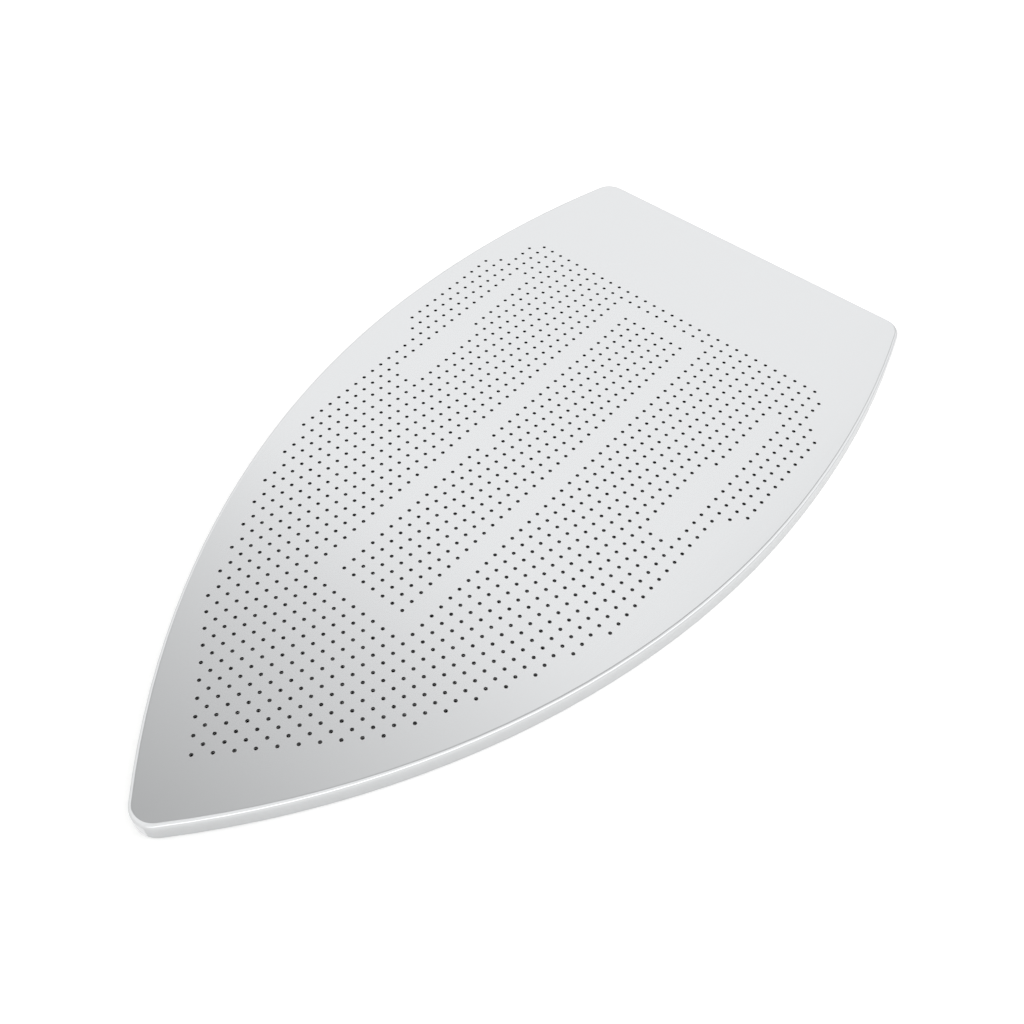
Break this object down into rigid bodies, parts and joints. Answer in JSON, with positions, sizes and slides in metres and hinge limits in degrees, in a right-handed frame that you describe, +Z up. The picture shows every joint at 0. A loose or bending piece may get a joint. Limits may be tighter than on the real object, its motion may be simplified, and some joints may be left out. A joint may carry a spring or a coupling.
{
  "type": "iron shoe cover",
  "caption": "Shallow boat-shaped metal pan with a perforated sole and a low skirt, slipped over the soleplate of a steam iron.",
  "frame": {"origin": "middle of the footprint, on the plane that the lower edge of the skirt stands on", "axes": "+Y from the toe to the heel, +X to the right seen from the toe, +Z up out of the sole"},
  "size_m": [0.132, 0.241, 0.0055],
  "materials": {
    "satin_sheet": "satin, with a fine even grain"
  },
  "bodies": {
    "root": {"shoe_pan": "satin_sheet"}
  },
  "joints": []
}
